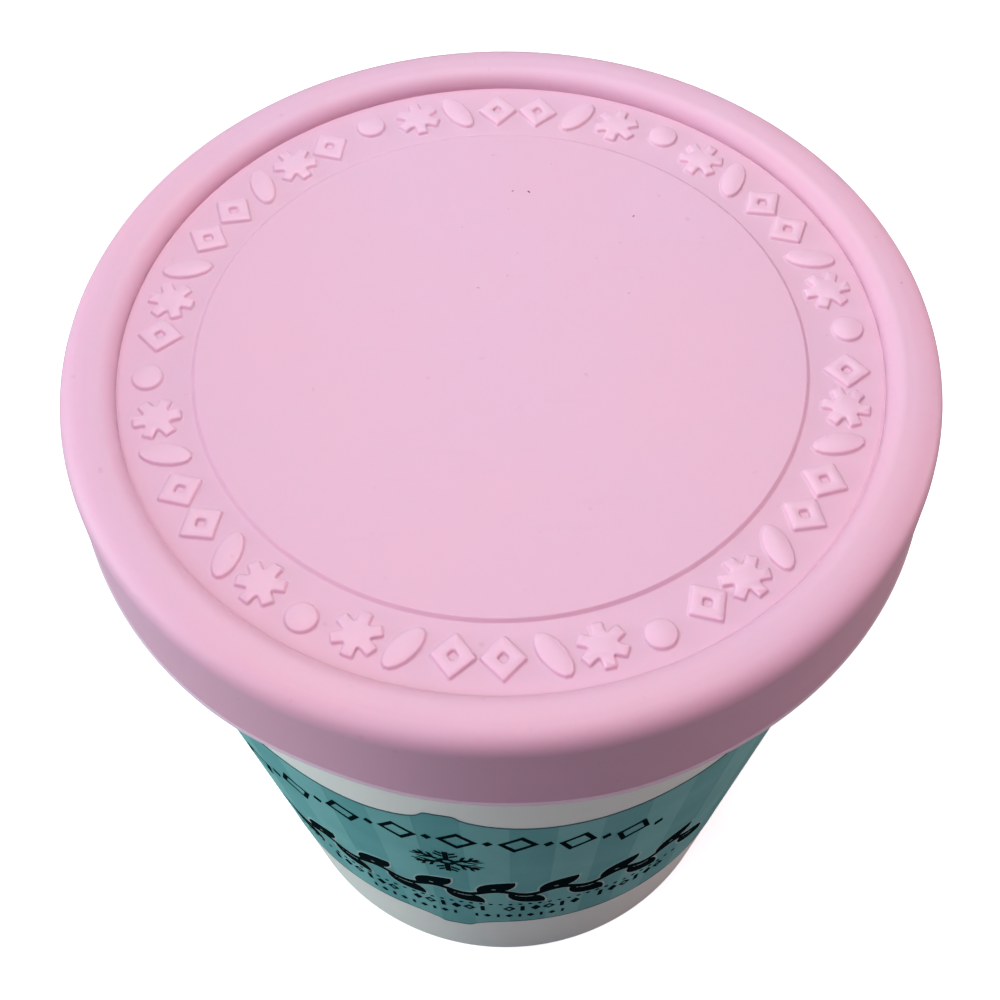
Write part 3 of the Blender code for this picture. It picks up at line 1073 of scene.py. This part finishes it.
def raised_figure(name, loops):
    """A low raised figure with a flared foot and softly rounded top edges, closed below."""
    shape = bmesh.new()
    ends = {0: [], len(FIGURE_STATIONS) - 1: []}
    for number, loop in enumerate(loops):
        soft = softened_loop(loop, FIGURE_CORNER_ROUND)
        outward = 1.0 if number == 0 else -1.0
        rings = []
        for margin, height in FIGURE_STATIONS:
            moved = grown_loop(soft, outward * margin)
            rings.append([shape.verts.new((x, -y, height)) for x, y in moved])
        count = len(soft)
        for low, high in zip(rings, rings[1:]):
            for k in range(count):
                shape.faces.new((low[k], low[(k + 1) % count], high[(k + 1) % count], high[k]))
        for station in ends:
            ring = rings[station]
            ends[station] += [shape.edges.get((ring[k], ring[(k + 1) % count])) for k in range(count)]
    for edges in ends.values():
        bmesh.ops.triangle_fill(shape, edges=edges, use_beauty=True)
    bmesh.ops.recalc_face_normals(shape, faces=shape.faces)
    return mesh_from(shape, name)


FIGURE_LOOPS = {
    "lozenge": lozenge_loops(),
    "leaf_left": leaf_loops(-LEAF_LEAN),
    "leaf_right": leaf_loops(LEAF_LEAN),
    "star": star_loops(),
    "dot": [ring_of_points(DOT_RADIUS, DOT_SIDES)],
}


def ornament_places(band_level):
    """The place, figure, turn and size of each raised figure, going once round the band."""
    order = list(FIGURE_LOOPS)

    def place_on_band(figure, angle, radius):
        turn = math.radians(angle)
        return (radius * math.sin(turn), -radius * math.cos(turn), band_level), order.index(figure), turn, 1.0

    angle = FIRST_DOT_ANGLE
    for group_angle, figures in GROUPS:
        yield place_on_band("dot", angle, DOT_RING_RADIUS)
        pitch = (group_angle - 2 * GROUP_MARGIN) / len(figures)
        for place, figure in enumerate(figures):
            yield place_on_band(figure, angle + GROUP_MARGIN + (place + 0.5) * pitch, FIGURE_RING_RADIUS)
        angle += group_angle


lid = grown_piece(
    "lid_cap", outline_mesh("lid_outline", rounded_outline(lid_corners(), steps=9)), TURNED_SHAPE,
    {"Sides": LID_SIDES, "Finish": pink_silicone("lid_pink_silicone", SILICONE_PINK, SILICONE_LILAC)},
)
hang_skirt(lid.data)
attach(lid, "root")
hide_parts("lid")

band_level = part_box("lid")[1].z - LID_BAND_DEPTH
raised = figure_collection("raised", [raised_figure(name, loops) for name, loops in FIGURE_LOOPS.items()])
# The figures get a lighter copy of the lid's silicone, a painted highlight on their tops.
ornament = grown_piece(
    "lid_raised_figures", points_mesh("ornament", list(ornament_places(band_level))), FIGURES_AT_POINTS,
    {"Figures": raised, "Finish": pink_silicone("figure_silicone_painted_highlight", FIGURE_PINK_PAINTED_HIGHLIGHT, FIGURE_LILAC_PAINTED_HIGHLIGHT)},
)
drop_figures(raised)
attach(ornament, "root")

# Lint on the lid
# Silicone holds dust. A few dark specks of fluff have settled on the disc, and fainter ones lie scattered
# round them and on the rim.
# Each fleck is (x, y, length, turn).
DARK_LINT = (
    (0.0046, 0.0303, 0.00052, 1.9), (0.0199, 0.0251, 0.00040, 0.4), (0.0022, 0.0305, 0.00036, 0.1),
)
FAINT_LINT = (
    (0.0015, 0.0269, 0.00026, 0.7), (0.0177, 0.0199, 0.00026, 2.2), (0.0027, 0.0182, 0.00024, 0.3),
    (0.0012, 0.0139, 0.00030, 1.2), (0.0141, 0.0170, 0.00028, 2.9), (0.0081, 0.0360, 0.00024, 0.9),
    (-0.0053, 0.0234, 0.00028, 1.6), (0.0184, 0.0103, 0.00036, 0.2), (-0.0030, 0.0117, 0.00044, 2.5),
)
RIM_LINT = ((0.0567, 0.0098, 0.00040, 1.1), (0.0560, -0.0013, 0.00034, 0.2))
RIM_LINT_SINK = 0.00005
LINT_DARK = (0.085, 0.040, 0.075, 1.0)
LINT_FAINT = (0.38, 0.20, 0.25, 1.0)
LINT_LIGHTER = 1.3
LINT_ROUGHNESS = (0.85, 0.95)
LINT_SKIN_SCALES = (9000.0, 4000.0)


def lint_finish(name, colour):
    material, tree, shader, place = new_finish(name)
    broad = skin_on(tree, place, *LINT_SKIN_SCALES)["Broad"]
    mixed = mixed_colour(tree, broad, colour, deeper(colour, LINT_LIGHTER))
    tree.links.new(mixed, shader.inputs["Base Color"])
    tree.links.new(ranged(tree, broad, *LINT_ROUGHNESS), shader.inputs["Roughness"])
    return material


def lint_flake(name):
    """A small flat rounded flake, one long, half as wide and bent a little."""
    shape = bmesh.new()
    bmesh.ops.create_icosphere(shape, subdivisions=2, radius=0.5)
    for corner in shape.verts:
        x, y, z = corner.co
        width = 0.5 * (1.0 + 0.35 * math.sin(9.0 * x))
        corner.co = (x, width * y + 0.1 * math.sin(5.0 * x), 0.18 * z)
    return mesh_from(shape, name)


def settled_lint(name, places, finish):
    """Flakes on the lid, from (level, (x, y, length, turn))."""
    flakes = figure_collection(name + "_flakes", [lint_flake("flake")])
    points = [((x, y, level), 0, turn, length) for level, (x, y, length, turn) in places]
    inputs = {"Figures": flakes, "Finish": finish}
    piece = grown_piece(name, points_mesh(name, points), FIGURES_AT_POINTS, inputs)
    drop_figures(flakes)
    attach(piece, "root")


disc_level = band_level + LID_DISC_STEP
rim_level = band_level + LID_BAND_DEPTH
settled_lint("lid_lint_dark", [(disc_level, at) for at in DARK_LINT], lint_finish("lint_dark", LINT_DARK))
settled_lint(
    "lid_lint_faint",
    [(disc_level, at) for at in FAINT_LINT] + [(rim_level - RIM_LINT_SINK, at) for at in RIM_LINT],
    lint_finish("lint_faint", LINT_FAINT),
)

# The studio
# A plain pale floor in an evenly white room, soft lights above, a cool window low at the left with a pale
# card at the right, and the camera, which looks down on the lid.
FLOOR_HALF_WIDTH = 3.0
FLOOR_WHITE = (0.93, 0.93, 0.93, 1.0)
FLOOR_GLOW = 0.70
FLOOR_BOUNCE = (0.425, 0.40, 0.38, 1.0)
CAMERA_PLACE = Vector((0.0, -0.14233, 0.30497))
CAMERA_DIP = 56.5544
CAMERA_PAN = -0.0799
CAMERA_ROLL = -0.8075
CAMERA_LENS = 58.944
CAMERA_SENSOR = 36.0
CAMERA_CLIP = (0.01, 10.0)
LIGHTS = {
    "lamp_above": ((0.0, 0.04, 0.50), 0.25, (1.0, 0.81, 0.77), 1.31),
    "lamp_back": ((0.0, 0.14, 0.40), 0.20, (0.25, 1.0, 1.0), 0.42),
    "ceiling_front": ((0.05, -0.50, 1.00), 0.50, (1.0, 0.80, 0.84), 1.6),
    "ceiling_left": ((-0.50, -0.60, 0.90), 0.50, (0.64, 0.74, 0.96), 4.1),
    "window_left": ((-1.00, 0.0, 0.20), 0.30, (0.92, 0.98, 1.0), 6.0),
    "wall_left": ((-1.00, -0.10, 0.45), 0.60, (0.50, 0.96, 1.0), 2.5),
    "card_right": ((1.00, 0.20, 0.20), 0.30, (1.0, 0.80, 0.85), 4.3),
}
LIGHT_AIM = Vector((0.0, 0.0, 0.08))
WORLD_LIGHT = (1.0, 1.0, 1.0, 1.0)
WORLD_STRENGTH = 0.01


def pale_floor():
    """Nearly white to the camera, and darker to the light that it throws back."""
    material = bpy.data.materials.new("pale_floor")
    material.use_nodes = True
    tree = material.node_tree
    tree.nodes.remove(tree.nodes["Principled BSDF"])
    lit = add_node(tree, "ShaderNodeBsdfDiffuse", wires={"Color": FLOOR_WHITE})
    glow = add_node(tree, "ShaderNodeEmission", wires={"Color": FLOOR_WHITE, "Strength": FLOOR_GLOW})
    seen = add_node(tree, "ShaderNodeAddShader", wires={0: lit.outputs[0], 1: glow.outputs[0]})
    bounce = add_node(tree, "ShaderNodeBsdfDiffuse", wires={"Color": FLOOR_BOUNCE})
    path = add_node(tree, "ShaderNodeLightPath")
    mix = add_node(tree, "ShaderNodeMixShader", wires={
        0: path.outputs["Is Camera Ray"], 1: bounce.outputs[0], 2: seen.outputs[0],
    })
    tree.links.new(mix.outputs[0], tree.nodes["Material Output"].inputs["Surface"])
    return material


floor_mesh = bpy.data.meshes.new("floor")
floor_mesh.from_pydata(
    [(x * FLOOR_HALF_WIDTH, y * FLOOR_HALF_WIDTH, 0.0) for x, y in ((-1, -1), (1, -1), (1, 1), (-1, 1))],
    [], [(0, 1, 2, 3)],
)
floor_mesh.materials.append(pale_floor())
floor = in_scene("floor", floor_mesh)

for name, (place, width, colour, power) in LIGHTS.items():
    lamp = bpy.data.lights.new(name, "AREA")
    lamp.shape = "SQUARE"
    lamp.size = width
    lamp.color = colour
    lamp.energy = power
    holder = in_scene(name, lamp)
    holder.location = place
    aim = LIGHT_AIM - Vector(place)
    holder.rotation_euler = aim.to_track_quat("-Z", "Y").to_euler()

world = bpy.data.worlds.new("soft_room")
world.use_nodes = True
room = world.node_tree
path = add_node(room, "ShaderNodeLightPath")
strength = add_node(room, "ShaderNodeMapRange", wires={
    "Value": path.outputs["Is Camera Ray"], "To Min": WORLD_STRENGTH, "To Max": 1.0,
})
room.nodes["Background"].inputs["Color"].default_value = WORLD_LIGHT
room.links.new(strength.outputs[0], room.nodes["Background"].inputs["Strength"])
bpy.context.scene.world = world
bpy.context.scene.view_settings.view_transform = "Standard"

dip, pan, roll = math.radians(CAMERA_DIP), math.radians(CAMERA_PAN), math.radians(CAMERA_ROLL)
level_side = Vector((1.0, 0.0, 0.0))
level_view = Vector((0.0, math.cos(dip), -math.sin(dip)))
up = level_side.cross(level_view)
view = math.cos(pan) * level_view + math.sin(pan) * level_side
side = math.cos(pan) * level_side - math.sin(pan) * level_view
camera_x = math.cos(roll) * side + math.sin(roll) * up
camera_y = math.cos(roll) * up - math.sin(roll) * side
camera_data = bpy.data.cameras.new("camera")
camera_data.lens = CAMERA_LENS
camera_data.sensor_width = CAMERA_SENSOR
camera_data.clip_start, camera_data.clip_end = CAMERA_CLIP
camera = in_scene("camera", camera_data)
camera_turn = Matrix((camera_x, camera_y, -view)).transposed().to_4x4()
camera.matrix_world = Matrix.Translation(CAMERA_PLACE) @ camera_turn
bpy.context.scene.camera = camera
